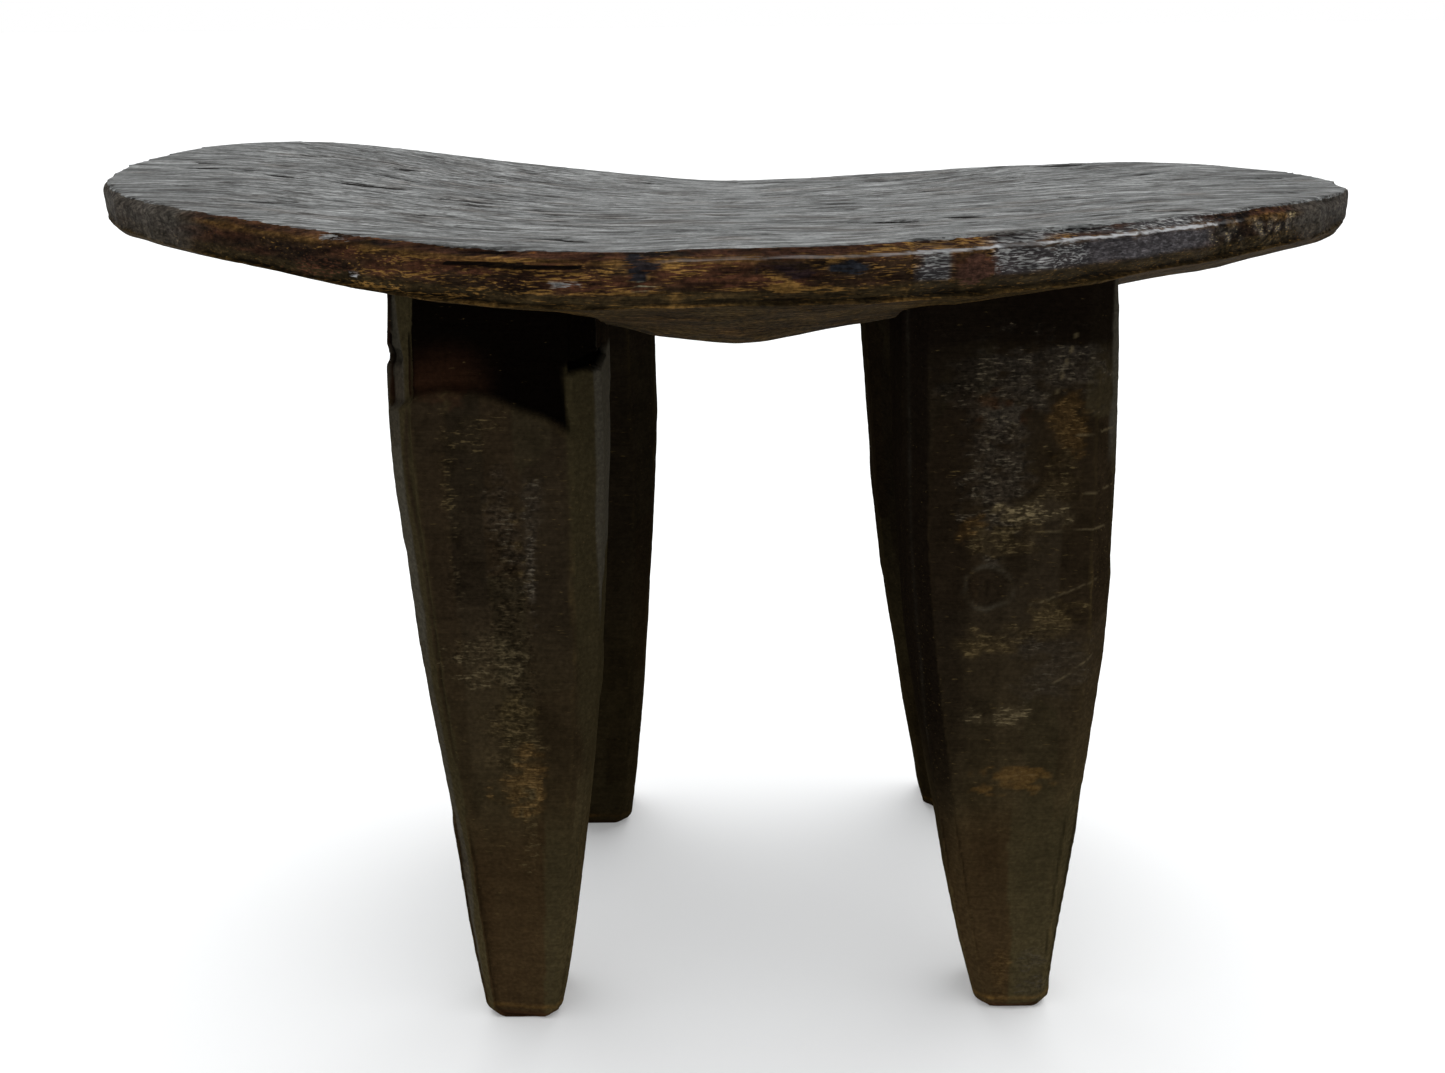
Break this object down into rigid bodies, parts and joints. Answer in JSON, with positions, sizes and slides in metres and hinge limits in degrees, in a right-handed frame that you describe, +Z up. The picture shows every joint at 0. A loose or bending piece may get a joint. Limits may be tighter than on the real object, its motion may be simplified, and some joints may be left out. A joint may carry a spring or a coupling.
{
  "type": "headrest stool",
  "caption": "Carved wooden headrest stool: a dished oval top on stout tapering faceted legs.",
  "frame": {"origin": "on the floor, under the middle of the seat's length and width", "axes": "+X along the seat from its left tip to its right tip, +Y from the front rim to the rear rim, +Z up"},
  "size_m": [0.56, 0.2424, 0.3871],
  "materials": {
    "seat_wood": "dark hardwood, worn satin from handling, open cracks along the grain",
    "leg_wood": "dark hardwood, adze-faceted, patinated, with lighter rubbed patches"
  },
  "bodies": {
    "root": {"seat": "seat_wood", "leg_front_left": "leg_wood", "leg_front_right": "leg_wood", "leg_rear_left": "leg_wood", "leg_rear_right": "leg_wood"}
  },
  "joints": []
}
